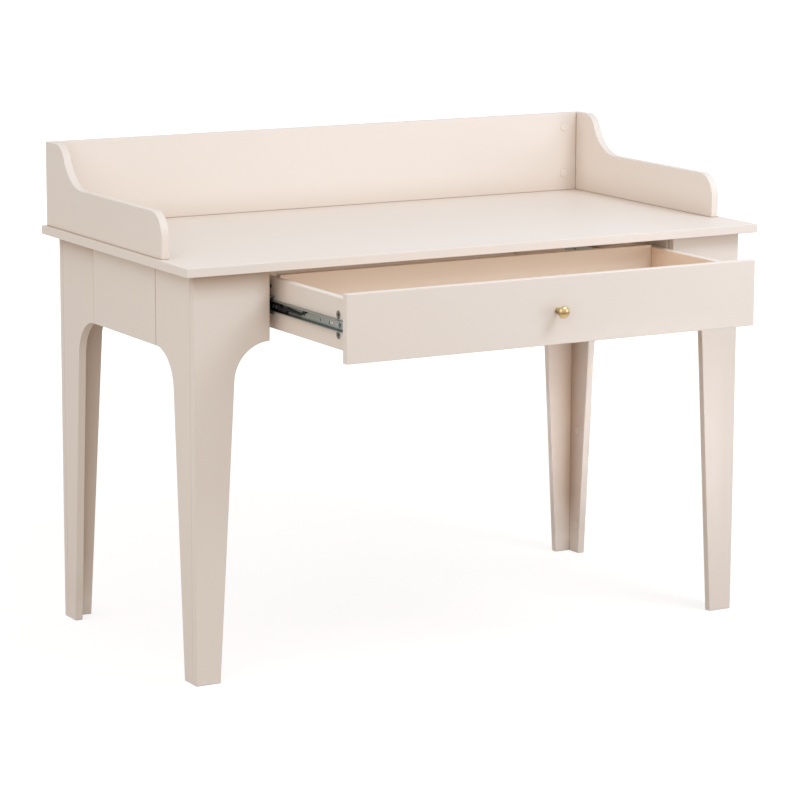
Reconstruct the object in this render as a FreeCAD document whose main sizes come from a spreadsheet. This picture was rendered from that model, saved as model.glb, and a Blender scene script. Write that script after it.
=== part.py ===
import FreeCAD, Part
import Sketcher
import math
import os
from collections import defaultdict
from types import SimpleNamespace

os.makedirs("parts", exist_ok=True)
doc = FreeCAD.newDocument("kneehole_desk")

# Driving dimensions in millimetres
SIZES = {
    # Desk top
    "top_width": 1200,
    "top_depth": 624,
    "top_height": 753,
    "top_thickness": 16,
    # Boards of the frame, gallery and drawer
    "board": 15,
    "edge_round": 1,
    # Frame under the top, set in from the edges of the top
    "end_overhang": 25,
    "front_overhang": 27,
    "rear_overhang": 25,
    "leaf_width": 149,
    "side_leaf_width": 138,
    "foot_width": 48,
    "leaf_arc": 70,
    "apron_height": 147,
    "runner_height": 107,
    # Gallery on the top
    "gallery_height": 158,
    "gallery_rail": 82,
    "gallery_length": 500,
    "gallery_crest": 47,
    "crest_arc": 38,
    "sweep_arc": 84,
    "gallery_corner": 42,
    "gallery_end_inset": 9,
    "gallery_rear_inset": 5,
    # Drawer, and how far it stands open
    "drawer_pull": 271,
    "drawer_gap": 6,
    "drawer_top_gap": 7.5,
    "drawer_front_height": 120,
    "drawer_side_height": 90,
    "drawer_side_lift": 17.5,
    "drawer_side_inset": 12,
    "bottom_panel": 4,
    "bottom_lift": 10,
    "groove_depth": 6,
    "groove_play": 0.2,
    "drawer_back_setback": 55,
    "drawer_back_rise": 4,
    # Knob and its screw
    "knob_stem": 8.5,
    "knob_stem_length": 14,
    "knob_shoulder": 1.25,
    "knob_rim": 5.5,
    "knob_dome": 1,
    "knob_screw": 4,
    "knob_screw_grip": 9,
    "knob_screw_head": 8,
    "knob_screw_head_height": 2.6,
    # Ball-bearing slides
    "slide_length": 350,
    "slide_setback": 2,
    "slide_sheet": 1.2,
    "slide_bend": 2,
    "member_height": 19,
    "member_depth": 7.8,
    "flange_gap": 0.6,
    "ball": 4.5,
    "ball_run": 0.3,
    "ball_pitch": 14,
    "cage_sheet": 0.8,
    "cage_gap": 0.5,
    "cage_head_gap": 0.6,
    "cage_lip": 1.5,
    "cage_setback": 2,
    "cage_end_play": 1,
    "slot_length": 14,
    "slot_height": 5,
    "web_hole": 4.5,
    # Release lever on the drawer's half of a slide
    "lever_inset": 66,
    "lever_length": 136,
    "lever_screw_gap": 24,
    "lever_thickness": 3,
    "lever_rise": 0.4,
    "lever_side_gap": 2,
    "rivet": 3,
    "rivet_head": 6,
    "rivet_head_height": 0.8,
    "rivet_run": 0.08,
    "rivet_pitch": 12,
    "pivot_inset": 30,
    "guide_play": 1.1,
    # Cam locks with their bolts and covers
    "cam": 14.6,
    "cam_play": 0.4,
    "cam_wall": 2.5,
    "cam_floor_play": 0.5,
    "cam_recess": 8,
    "cam_recess_slot": 1.8,
    "cam_recess_depth": 1.6,
    "bolt": 5,
    "bolt_head": 6.6,
    "bolt_play": 0.8,
    "bolt_head_length": 5,
    "bolt_thread": 10,
    "leg_cam_setback": 25,
    "apron_cam_setback": 25,
    "gallery_cam_setback": 29,
    "drawer_cam_setback": 37,
    "leg_cam_low": 58,
    "leg_cam_pitch": 200,
    "gallery_cam_low": 35,
    "gallery_cam_drop": 29,
    "drawer_cam_pitch": 35,
    "cap": 17,
    "cap_height": 1.1,
    "cap_round": 0.6,
    # Dowels
    "dowel": 8,
    "dowel_length": 30,
    "dowel_chamfer": 1,
    "apron_dowel_pitch": 90,
    # Countersunk wood screws
    "wood_screw": 4,
    "wood_screw_head": 8,
    "wood_screw_head_height": 2.2,
    "gallery_screw_length": 40,
    "drawer_screw_length": 35,
    "drawer_screw_pitch": 46,
    # Pan screws of the slides and brackets
    "pan_screw": 3.5,
    "pan_screw_length": 12,
    "pan_screw_head": 6.4,
    "pan_screw_head_height": 1.8,
    "drawer_slide_screw": 31,
    "drawer_slide_slot": 61,
    # Angle brackets in the corners of the frame
    "bracket_leg": 20,
    "bracket_width": 16,
    "bracket_sheet": 1.5,
    "bracket_hole_offset": 12,
    # Clearances and the overrun of cuts
    "hole_play": 0.1,
    "hole_end_play": 0.5,
    "overrun": 1,
}

# Places along a piece, as shares of its length
GALLERY_BACK_SCREW_SHARES = (0.1, 0.5, 0.9)
GALLERY_SIDE_SCREW_SHARES = (0.3, 0.8)
BRACKET_SHARES = (0.2, 0.8)
CABINET_SCREW_SHARES = (0.1, 0.5, 0.9)
CABINET_SLOT_SHARES = (0.2, 0.35, 0.7)
DRAWER_HOLE_SHARES = (0.28, 0.45)

# Outline of the release lever: shares of its length from the tab, and of half its height
LEVER_SHARES = (
    (0, -0.95), (0.05, -1), (0.155, -0.05), (0.48, -0.4), (0.52, -0.5), (0.59, -0.22), (0.65, -0.15),
    (0.685, -0.35), (0.705, -0.95), (1, -0.95), (1, 0.73), (0.69, 0.6), (0.64, 0.95), (0.55, 0.95),
    (0.5, 0.27), (0.17, 0.38), (0.02, -0.63),
)


class Size:
    """A length kept as a number and as the expression that an object is bound to."""

    def __init__(self, value, text):
        self.value = value
        self.text = text

    def __add__(self, other):
        other = as_size(other)
        return Size(self.value + other.value, f"({self.text} + {other.text})")

    def __sub__(self, other):
        other = as_size(other)
        return Size(self.value - other.value, f"({self.text} - {other.text})")

    def __mul__(self, factor):
        return Size(self.value * factor, f"({self.text} * {factor})")

    def __truediv__(self, divisor):
        return Size(self.value / divisor, f"({self.text} / {divisor})")

    def __neg__(self):
        return Size(-self.value, f"(-{self.text})")


def as_size(item):
    """Take a Size as it is, and a bare zero as a Size."""
    return item if isinstance(item, Size) else Size(float(item), str(item))


def fill_sheet():
    """Write the driving dimensions to a sheet and return them as named sizes."""
    sheet = doc.addObject("Spreadsheet::Sheet", "Sizes")
    for row, (alias, value) in enumerate(SIZES.items(), start=1):
        sheet.set(f"A{row}", alias)
        sheet.set(f"B{row}", str(value))
        sheet.setAlias(f"B{row}", alias)
    doc.recompute()
    return SimpleNamespace(**{alias: Size(float(sheet.get(alias)), f"Sizes.{alias}") for alias in SIZES})


dim = fill_sheet()
ZERO = as_size(0)
X = FreeCAD.Vector(1, 0, 0)
Y = FreeCAD.Vector(0, 1, 0)
Z = FreeCAD.Vector(0, 0, 1)
SIDES = (("left", -1), ("right", 1))

# Main planes of the desk: the origin is on the floor, midway between the knob and the rear edge
knob_reach = dim.knob_stem_length + dim.knob_rim * 2 + dim.knob_dome
top_mid_y = (dim.drawer_pull + knob_reach - dim.front_overhang) / 2
top_front = top_mid_y - dim.top_depth / 2
top_rear = top_mid_y + dim.top_depth / 2
top_right = dim.top_width / 2
top_under = dim.top_height - dim.top_thickness
frame_right = top_right - dim.end_overhang
frame_front = top_front + dim.front_overhang
frame_rear = top_rear - dim.rear_overhang
front_leaf_back = frame_front + dim.board
rear_leaf_front = frame_rear - dim.board
opening_right = frame_right - dim.leaf_width
apron_under = top_under - dim.apron_height
side_apron_front = front_leaf_back + dim.side_leaf_width
side_apron_rear = rear_leaf_front - dim.side_leaf_width
gallery_right = top_right - dim.gallery_end_inset
gallery_rear = top_rear - dim.gallery_rear_inset
drawer_right = opening_right - dim.drawer_gap
drawer_upper = top_under - dim.drawer_top_gap
drawer_under = drawer_upper - dim.drawer_front_height
drawer_face = frame_front - dim.drawer_pull
drawer_face_back = drawer_face + dim.board
box_right = drawer_right - dim.drawer_side_inset
box_under = drawer_under + dim.drawer_side_lift
box_upper = box_under + dim.drawer_side_height
box_inside = box_right - dim.board
box_rear = drawer_face_back + dim.slide_length
cage_web = dim.member_depth + dim.cage_gap
cage_back = cage_web + dim.cage_sheet
slide_room = cage_back + dim.cage_head_gap + dim.pan_screw_head_height + dim.slide_sheet
runner_inside = box_right + slide_room
slide_mid_z = drawer_under + dim.drawer_front_height / 2


def vector(point):
    """A point in numbers from three sizes."""
    return FreeCAD.Vector(*(as_size(item).value for item in point))


def bind(item, path, size):
    """Bind a property to a size."""
    item.setExpression(path, as_size(size).text)


def place(item, point, axis=Z, angle=0):
    """Put an object at a point, turned about one axis."""
    item.Placement = FreeCAD.Placement(FreeCAD.Vector(), FreeCAD.Rotation(axis, angle))
    for letter, size in zip("xyz", point):
        bind(item, f"Placement.Base.{letter}", size)


def new_sketch(body, role):
    """A sketch on one of a body's own origin planes."""
    plane = next(item for item in body.Origin.OriginFeatures if item.Role == role)
    sketch = body.newObject("Sketcher::SketchObject", body.Name + "_outline")
    sketch.AttachmentSupport = (plane, [""])
    sketch.MapMode = "FlatFace"
    return sketch


def constrain(sketch, kind, *parts, size=None):
    """Add one constraint, bound to a size if it has one."""
    if size is None:
        sketch.addConstraint(Sketcher.Constraint(kind, *parts))
        return
    index = sketch.addConstraint(Sketcher.Constraint(kind, *parts, as_size(size).value))
    bind(sketch, f"Constraints[{index}]", size)


def pin_point(sketch, item, end, across, up):
    """Hold one end of a sketch line at its two coordinates."""
    constrain(sketch, "DistanceX", -1, 1, item, end, size=across)
    constrain(sketch, "DistanceY", -1, 1, item, end, size=up)


def direction(start, end):
    """The unit vector from one corner to the next, in numbers."""
    step = vector((*end[:2], ZERO)) - vector((*start[:2], ZERO))
    return step / step.Length


def draw_outline(sketch, corners):
    """Close a loop of corners. A corner with a third size is a right angle rounded to that radius."""
    count = len(corners)
    ends = []
    for index, corner in enumerate(corners):
        across, up = corner[:2]
        radius = corner[2] if len(corner) > 2 else ZERO
        before = direction(corners[index - 1], corner)
        after = direction(corner, corners[(index + 1) % count])
        arrive = (across - radius * before.x, up - radius * before.y)
        leave = (across + radius * after.x, up + radius * after.y)
        ends.append((arrive, leave, radius, before, after))
    lines = []
    for index in range(count):
        start = vector((*ends[index][1], ZERO))
        end = vector((*ends[(index + 1) % count][0], ZERO))
        lines.append(sketch.addGeometry(Part.LineSegment(start, end), False))
    for index, (arrive, leave, radius, before, after) in enumerate(ends):
        into, out = lines[index - 1], lines[index]
        pin_point(sketch, out, 1, *leave)
        if radius is ZERO:
            constrain(sketch, "Coincident", into, 2, out, 1)
            continue
        pin_point(sketch, into, 2, *arrive)
        start = vector((*arrive, ZERO))
        end = vector((*leave, ZERO))
        centre = start + after * radius.value
        middle = centre + (before - after) * (radius.value / math.sqrt(2))
        arc = sketch.addGeometry(Part.Arc(start, middle, end), False)
        near = 1 if sketch.getPoint(arc, 1).distanceToPoint(start) < radius.value / 2 else 2
        constrain(sketch, "Coincident", into, 2, arc, near)
        constrain(sketch, "Coincident", out, 1, arc, 3 - near)
        constrain(sketch, "Radius", arc, size=radius)


def pad(body, sketch, length, backwards=False):
    """Give a sketch its length."""
    solid = body.newObject("PartDesign::Pad", body.Name + "_pad")
    solid.Profile = sketch
    solid.Reversed = backwards
    bind(solid, "Length", length)
    return solid


def soften(body, solid, radius):
    """Round every edge of a padded board."""
    doc.recompute()
    rounding = body.newObject("PartDesign::Fillet", body.Name + "_edges")
    rounding.Base = (solid, [""])
    rounding.UseAllEdges = True
    bind(rounding, "Radius", radius)


blanks = {}
bores = defaultdict(list)
fasteners = defaultdict(list)
nodes = {}


def new_blank(label):
    """A body for a board that is drilled later."""
    blanks[label] = doc.addObject("PartDesign::Body", label + "_blank")
    return blanks[label]


def board(label, low, high, rounding=dim.edge_round):
    """A flat board between two opposite corners, with eased edges."""
    body = new_blank(label)
    wide, deep, tall = (last - first for first, last in zip(low, high))
    sketch = new_sketch(body, "XY_Plane")
    draw_outline(sketch, ((ZERO, ZERO), (wide, ZERO), (wide, deep), (ZERO, deep)))
    solid = pad(body, sketch, tall)
    if rounding is not ZERO:
        soften(body, solid, rounding)
    place(body, low)


def mirror_board(label, side, inner, outer, front, rear, low, high):
    """A board on one side of the desk, given by its distances from the middle."""
    first, last = (inner, outer) if side > 0 else (-outer, -inner)
    board(label, (first, front, low), (last, rear, high))


def leg_leaf(label, width, foot, arc_top, corner, angle):
    """One flat leaf of a leg: straight outside, with a quarter arc and a taper inside."""
    body = new_blank(label)
    sketch = new_sketch(body, "XZ_Plane")
    wide, toe, step, high, arc = (size.value for size in (width, foot, arc_top, top_under, dim.leaf_arc))
    outer_foot, inner_foot = FreeCAD.Vector(), FreeCAD.Vector(toe, 0)
    arc_end, arc_start = FreeCAD.Vector(wide - arc, step - arc), FreeCAD.Vector(wide, step)
    inner_head, outer_head = FreeCAD.Vector(wide, high), FreeCAD.Vector(0, high)
    circle = Part.Circle(FreeCAD.Vector(wide, step - arc), Z, arc)
    sole = sketch.addGeometry(Part.LineSegment(outer_foot, inner_foot), False)
    taper = sketch.addGeometry(Part.LineSegment(inner_foot, arc_end), False)
    bend = sketch.addGeometry(Part.ArcOfCircle(circle, math.pi / 2, math.pi), False)
    inside = sketch.addGeometry(Part.LineSegment(arc_start, inner_head), False)
    head = sketch.addGeometry(Part.LineSegment(inner_head, outer_head), False)
    outside = sketch.addGeometry(Part.LineSegment(outer_head, outer_foot), False)
    for first, second in ((sole, taper), (inside, head), (head, outside), (outside, sole)):
        constrain(sketch, "Coincident", first, 2, second, 1)
    constrain(sketch, "Coincident", sole, 1, -1, 1)
    constrain(sketch, "Coincident", bend, 1, inside, 1)
    constrain(sketch, "Tangent", taper, 2, bend, 2)
    constrain(sketch, "Vertical", bend, 3, inside, 1)
    for item in (sole, head):
        constrain(sketch, "Horizontal", item)
    for item in (inside, outside):
        constrain(sketch, "Vertical", item)
    constrain(sketch, "DistanceX", sole, 1, sole, 2, size=foot)
    constrain(sketch, "DistanceX", head, 2, head, 1, size=width)
    constrain(sketch, "DistanceY", outside, 2, outside, 1, size=top_under)
    constrain(sketch, "DistanceY", -1, 1, inside, 1, size=arc_top)
    constrain(sketch, "Radius", bend, size=dim.leaf_arc)
    soften(body, pad(body, sketch, dim.board, backwards=True), dim.edge_round)
    place(body, corner, Z, angle)


def gallery_side(label, inner_face):
    """One end of the gallery: a high crest that sweeps down to a low rail with a round front corner."""
    body = new_blank(label)
    sketch = new_sketch(body, "XZ_Plane")
    long, rail, high, crest = (
        size.value for size in (dim.gallery_length, dim.gallery_rail, dim.gallery_height, dim.gallery_crest))
    convex, concave, round_nose = (size.value for size in (dim.crest_arc, dim.sweep_arc, dim.gallery_corner))
    turn = math.acos(1 - (high - rail) / (convex + concave))
    sweep_end = crest + (convex + concave) * math.sin(turn)
    nose = Part.Circle(FreeCAD.Vector(long - round_nose, rail - round_nose), Z, round_nose)
    hollow = Part.Circle(FreeCAD.Vector(sweep_end, rail + concave), Z, concave)
    hump = Part.Circle(FreeCAD.Vector(crest, high - convex), Z, convex)
    down, level = -math.pi / 2, math.pi / 2
    items = (
        Part.LineSegment(FreeCAD.Vector(0, 0), FreeCAD.Vector(long, 0)),
        Part.LineSegment(FreeCAD.Vector(long, 0), FreeCAD.Vector(long, rail - round_nose)),
        Part.ArcOfCircle(nose, 0, level),
        Part.LineSegment(FreeCAD.Vector(long - round_nose, rail), FreeCAD.Vector(sweep_end, rail)),
        Part.ArcOfCircle(hollow, down - turn, down),
        Part.ArcOfCircle(hump, level - turn, level),
        Part.LineSegment(FreeCAD.Vector(crest, high), FreeCAD.Vector(0, high)),
        Part.LineSegment(FreeCAD.Vector(0, high), FreeCAD.Vector(0, 0)),
    )
    base, front, nose, rail, hollow, hump, crest, rear = (sketch.addGeometry(item, False) for item in items)
    constrain(sketch, "Coincident", base, 1, -1, 1)
    for first, second in ((base, front), (crest, rear), (rear, base)):
        constrain(sketch, "Coincident", first, 2, second, 1)
    constrain(sketch, "Tangent", front, 2, nose, 1)
    constrain(sketch, "Tangent", nose, 2, rail, 1)
    constrain(sketch, "Tangent", rail, 2, hollow, 2)
    constrain(sketch, "Tangent", hollow, 1, hump, 1)
    constrain(sketch, "Tangent", hump, 2, crest, 1)
    for item in (base, rail, crest):
        constrain(sketch, "Horizontal", item)
    for item in (front, rear):
        constrain(sketch, "Vertical", item)
    constrain(sketch, "DistanceX", base, 1, base, 2, size=dim.gallery_length)
    constrain(sketch, "DistanceY", -1, 1, rail, 1, size=dim.gallery_rail)
    constrain(sketch, "DistanceY", rear, 2, rear, 1, size=dim.gallery_height)
    constrain(sketch, "DistanceX", crest, 2, crest, 1, size=dim.gallery_crest)
    constrain(sketch, "Radius", nose, size=dim.gallery_corner)
    constrain(sketch, "Radius", hollow, size=dim.sweep_arc)
    constrain(sketch, "Radius", hump, size=dim.crest_arc)
    soften(body, pad(body, sketch, dim.board, backwards=True), dim.edge_round)
    place(body, (inner_face, gallery_rear, dim.top_height), Z, -90)


# Desk top and gallery
board("top_panel", (-top_right, top_front, top_under), (top_right, top_rear, dim.top_height))
gallery_inside = gallery_right - dim.board
gallery_back_face = gallery_rear - dim.board
gallery_side("gallery_side_left", -gallery_right)
gallery_side("gallery_side_right", gallery_inside)
board(
    "gallery_back",
    (-gallery_inside, gallery_back_face, dim.top_height),
    (gallery_inside, gallery_rear, dim.top_height + dim.gallery_height),
)

# Leg leaves: front and rear ones reach the outer corners, side ones stand between them
side_foot = dim.foot_width - dim.board
for hand, side in SIDES:
    for end, near_y, far_y in (
        ("front", frame_front, front_leaf_back),
        ("rear", rear_leaf_front, frame_rear),
    ):
        corner_y, angle = (near_y, 0) if side < 0 else (far_y, 180)
        leg_leaf(
            f"{end}_leaf_{hand}", dim.leaf_width, dim.foot_width, drawer_under,
            (frame_right * side, corner_y, ZERO), angle)
    outer, inner = frame_right * side, (frame_right - dim.board) * side
    forward_x, backward_x = (outer, inner) if side > 0 else (inner, outer)
    leg_leaf(
        f"side_leaf_front_{hand}", dim.side_leaf_width, side_foot, apron_under,
        (forward_x, front_leaf_back, ZERO), 90)
    leg_leaf(
        f"side_leaf_rear_{hand}", dim.side_leaf_width, side_foot, apron_under,
        (backward_x, rear_leaf_front, ZERO), -90)
    mirror_board(
        f"side_apron_{hand}", side, frame_right - dim.board, frame_right,
        side_apron_front, side_apron_rear, apron_under, top_under)
    mirror_board(
        f"runner_panel_{hand}", side, runner_inside, runner_inside + dim.board,
        front_leaf_back, rear_leaf_front, top_under - dim.runner_height, top_under)
board("rear_apron", (-opening_right, rear_leaf_front, drawer_under), (opening_right, frame_rear, top_under))

# Drawer boards
board(
    "drawer_front",
    (-drawer_right, drawer_face, drawer_under),
    (drawer_right, drawer_face_back, drawer_upper),
)
for hand, side in SIDES:
    mirror_board(
        f"drawer_side_{hand}", side, box_inside, box_right, drawer_face_back, box_rear, box_under, box_upper)
bottom_low = box_under + dim.bottom_lift
bottom_high = bottom_low + dim.bottom_panel
back_rear = box_rear - dim.drawer_back_setback
back_front = back_rear - dim.board
bottom_right = box_inside + dim.groove_depth - dim.groove_play
board(
    "drawer_bottom",
    (-bottom_right, drawer_face_back - dim.groove_depth + dim.groove_play, bottom_low),
    (bottom_right, back_rear - dim.groove_play, bottom_high),
    rounding=ZERO,
)
back_upper = box_upper + dim.drawer_back_rise
board("drawer_back", (-box_inside, back_front, bottom_high), (box_inside, back_rear, back_upper))


def block(low, high):
    """A plain block between two corners, for a cut."""
    low, high = vector(low), vector(high)
    return Part.makeBox(*(high - low), low)


# Grooves that hold the drawer's bottom panel
groove_low = bottom_low - dim.groove_play
groove_high = bottom_high + dim.groove_play
bores["drawer_front"].append(block(
    (-box_inside - dim.groove_depth, drawer_face_back - dim.groove_depth, groove_low),
    (box_inside + dim.groove_depth, drawer_face_back + dim.overrun, groove_high)))
for hand, side in SIDES:
    reach = ((box_inside - dim.overrun) * side, (box_inside + dim.groove_depth) * side)
    low_x, high_x = reach if side > 0 else reach[::-1]
    bores[f"drawer_side_{hand}"].append(block(
        (low_x, drawer_face_back - dim.overrun, groove_low),
        (high_x, box_rear + dim.overrun, groove_high)))


def cylinder(name, diameter, length, start, axis=Z, angle=0):
    """A round bar that starts at a point and runs along Z, or along Z turned about an axis."""
    bar = doc.addObject("Part::Cylinder", name)
    bind(bar, "Radius", diameter / 2)
    bind(bar, "Height", length)
    place(bar, start, axis, angle)
    return bar


def box(name, low, high):
    """A plain block between two corners, bound to their sizes."""
    solid = doc.addObject("Part::Box", name)
    for path, first, last in zip(("Length", "Width", "Height"), low, high):
        bind(solid, path, as_size(last) - first)
    place(solid, low)
    return solid


def fuse(name, *items):
    """Join solids into one."""
    whole = doc.addObject("Part::MultiFuse", name)
    whole.Shapes = list(items)
    return whole


def cut(name, base, *tools):
    """Take one or more solids out of another."""
    rest = doc.addObject("Part::Cut", name)
    rest.Base = base
    rest.Tool = tools[0] if len(tools) == 1 else fuse(name + "_tools", *tools)
    return rest


def cross(name, span, slot, depth):
    """A cross recess that goes down from the origin."""
    bars = []
    for turn, (across, along) in enumerate(((span, slot), (slot, span))):
        low = (-across / 2, -along / 2, -depth)
        high = (across / 2, along / 2, dim.overrun)
        bars.append(box(f"{name}_bar{turn}", low, high))
    return fuse(name, *bars)


# Patterns of the small fittings, each made once at the origin
bolt_depth = dim.board / 2
bolt_bore = dim.bolt_head + dim.bolt_play
cam_bore_depth = dim.board - dim.cam_wall
cam_height = cam_bore_depth - dim.cam_floor_play
cam_pattern = cut(
    "cam_pattern",
    cylinder("cam_body", dim.cam, cam_height, (ZERO, ZERO, -cam_height)),
    cylinder("cam_mouth", bolt_bore, dim.cam, (-dim.bolt_head_length, ZERO, -bolt_depth), Y, 90),
    cross("cam_cross", dim.cam_recess, dim.cam_recess_slot, dim.cam_recess_depth),
)


def bolt_pattern(name, setback):
    """A cam bolt: its head in the cam at the origin, its thread in the other board."""
    neck = dim.bolt_head_length / 2
    head_start, shank_start = (-neck, ZERO, -bolt_depth), (neck, ZERO, -bolt_depth)
    return fuse(
        name,
        cylinder(name + "_head", dim.bolt_head, dim.bolt_head_length, head_start, Y, 90),
        cylinder(name + "_shank", dim.bolt, setback + dim.bolt_thread - neck, shank_start, Y, 90),
    )


def countersunk_pattern(name, length):
    """A countersunk screw that goes up from the origin, with a cross in its head."""
    head = doc.addObject("Part::Cone", name + "_head")
    bind(head, "Radius1", dim.wood_screw_head / 2)
    bind(head, "Radius2", dim.wood_screw / 2)
    bind(head, "Height", dim.wood_screw_head_height)
    shank_length = length - dim.wood_screw_head_height - dim.wood_screw
    shank = cylinder(name + "_shank", dim.wood_screw, shank_length, (ZERO, ZERO, dim.wood_screw_head_height))
    tip = doc.addObject("Part::Cone", name + "_tip")
    bind(tip, "Radius1", dim.wood_screw / 2)
    bind(tip, "Radius2", ZERO)
    bind(tip, "Height", dim.wood_screw)
    place(tip, (ZERO, ZERO, length - dim.wood_screw))
    recess = cross(name + "_cross", dim.wood_screw, dim.wood_screw / 4, dim.wood_screw_head_height / 2)
    place(recess, (ZERO, ZERO, ZERO), X, 180)
    return cut(name, fuse(name + "_solid", head, shank, tip), recess)


def pan_pattern(name, shank_diameter, length, head_diameter, head_height):
    """A pan-head screw with its seat at the origin and its shank going up."""
    head = cylinder(name + "_head", head_diameter, head_height, (ZERO, ZERO, -head_height))
    shank = cylinder(name + "_shank", shank_diameter, length, (ZERO, ZERO, ZERO))
    recess = cross(name + "_cross", head_diameter / 2, head_diameter / 8, head_height / 2)
    place(recess, (ZERO, ZERO, -head_height), X, 180)
    return cut(name, fuse(name + "_solid", head, shank), recess)


def dowel_pattern():
    """A dowel with chamfered ends, centred on the origin along Z."""
    rod = cylinder("dowel_rod", dim.dowel, dim.dowel_length, (ZERO, ZERO, -dim.dowel_length / 2))
    doc.recompute()
    pin = doc.addObject("Part::Chamfer", "dowel_pattern")
    pin.Base = rod
    bevel = dim.dowel_chamfer.value
    pin.Edges = [(index, bevel, bevel) for index in (1, 3)]
    return pin


def bracket_pattern():
    """An angle bracket: one leg against a board at x zero, the other against a board at z zero."""
    body = doc.addObject("PartDesign::Body", "bracket_pattern")
    sketch = new_sketch(body, "XZ_Plane")
    leg, sheet = dim.bracket_leg, dim.bracket_sheet
    draw_outline(sketch, (
        (ZERO, -leg), (sheet, -leg), (sheet, -sheet), (leg, -sheet), (leg, ZERO), (ZERO, ZERO)))
    pad(body, sketch, dim.bracket_width)
    place(body, (ZERO, dim.bracket_width / 2, ZERO))
    offset, hole = dim.bracket_hole_offset, dim.pan_screw + dim.hole_play * 2
    return cut(
        "bracket_drilled", body,
        cylinder("bracket_wall_hole", hole, sheet + dim.overrun * 2, (-dim.overrun, ZERO, -offset), Y, 90),
        cylinder("bracket_top_hole", hole, sheet + dim.overrun * 2, (offset, ZERO, -sheet - dim.overrun)))


def cap_pattern():
    """A round cover with a softened rim, which lies on the face that it covers."""
    disc = cylinder("cap_disc", dim.cap, dim.cap_height, (ZERO, ZERO, ZERO))
    doc.recompute()
    cover = doc.addObject("Part::Fillet", "cap_pattern")
    cover.Base = disc
    radius = dim.cap_round.value
    rim = max(range(len(disc.Shape.Edges)), key=lambda index: disc.Shape.Edges[index].BoundBox.ZMin)
    cover.Edges = [(rim + 1, radius, radius)]
    return cover


cap = cap_pattern()
bracket = bracket_pattern()
bolts = {
    name: bolt_pattern(f"{name}_bolt_pattern", setback)
    for name, setback in (
        ("leg", dim.leg_cam_setback),
        ("apron", dim.apron_cam_setback),
        ("gallery", dim.gallery_cam_setback),
        ("drawer", dim.drawer_cam_setback),
    )
}
gallery_screw = countersunk_pattern("gallery_screw_pattern", dim.gallery_screw_length)
drawer_screw = countersunk_pattern("drawer_screw_pattern", dim.drawer_screw_length)
pan_screw = pan_pattern(
    "pan_screw_pattern", dim.pan_screw, dim.pan_screw_length, dim.pan_screw_head, dim.pan_screw_head_height)
dowel = dowel_pattern()
doc.recompute()


def bar(diameter, length, start, axis=Z):
    """A round bar in numbers, for a bore."""
    return Part.makeCylinder(diameter.value / 2, length.value, vector(start), axis)


def moved(shape, placement):
    """A copy of a shape, carried to a place."""
    copy = shape.copy()
    copy.Placement = placement.multiply(copy.Placement)
    return copy


def towards(point, along, out):
    """A placement that turns local X along one direction and local Z along another."""
    return FreeCAD.Placement(vector(point), FreeCAD.Rotation(along, FreeCAD.Vector(), out, "ZXY"))


def pointing(point, along):
    """A placement that turns local Z along a direction."""
    return FreeCAD.Placement(vector(point), FreeCAD.Rotation(Z, along))


def cam_joint(kind, setback, host, mate, point, out, pull, covered=True):
    """One cam lock: the cam in the host's face, its bolt through the edge into the other board."""
    spot = towards(point, pull, out)
    play = dim.hole_play * 2
    cam_hole = bar(dim.cam + dim.cam_play, cam_bore_depth + dim.overrun, (ZERO, ZERO, -cam_bore_depth))
    edge_hole = bar(bolt_bore, setback + dim.overrun, (ZERO, ZERO, -bolt_depth), X)
    thread_hole = bar(
        dim.bolt + play, dim.bolt_thread + dim.hole_end_play + dim.overrun,
        (setback - dim.overrun, ZERO, -bolt_depth), X)
    bores[host] += [moved(cam_hole, spot), moved(edge_hole, spot)]
    bores[mate].append(moved(thread_hole, spot))
    fasteners[f"{kind}_cams"].append(moved(cam_pattern.Shape, spot))
    fasteners[f"{kind}_cam_bolts"].append(moved(bolts[kind].Shape, spot))
    if covered:
        fasteners[f"{kind}_cam_caps"].append(moved(cap.Shape, spot))


def dowel_joint(host, mate, point, along):
    """One dowel across a butt joint, half in each board."""
    spot = pointing(point, along)
    half = dim.dowel_length / 2 + dim.hole_end_play
    hole = moved(bar(dim.dowel + dim.hole_play * 2, half * 2, (ZERO, ZERO, -half)), spot)
    bores[host].append(hole)
    bores[mate].append(hole)
    fasteners["apron_dowels"].append(moved(dowel.Shape, spot))


def countersunk_joint(kind, pattern, length, hosts, point, along):
    """One countersunk screw through the first board into the second."""
    spot = pointing(point, along)
    play = dim.hole_play
    start = (ZERO, ZERO, -dim.overrun)
    shank = bar(dim.wood_screw + play * 2, length + dim.hole_end_play + dim.overrun, start)
    head = Part.makeCone(
        (dim.wood_screw_head / 2 + play).value, (dim.wood_screw / 2 + play).value,
        dim.wood_screw_head_height.value)
    mouth = bar(dim.wood_screw_head + play * 2, dim.overrun, start)
    bores[hosts[0]] += [moved(tool, spot) for tool in (shank, head, mouth)]
    bores[hosts[1]].append(moved(shank, spot))
    fasteners[kind].append(moved(pattern.Shape, spot))


def pan_joint(kind, host, point, along):
    """One pan-head screw whose seat is at a point, with its pilot hole in the board behind."""
    spot = pointing(point, along)
    hole = bar(
        dim.pan_screw + dim.hole_play * 2, dim.pan_screw_length + dim.hole_end_play, (ZERO, ZERO, ZERO))
    bores[host].append(moved(hole, spot))
    fasteners[kind].append(moved(pan_screw.Shape, spot))


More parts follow.
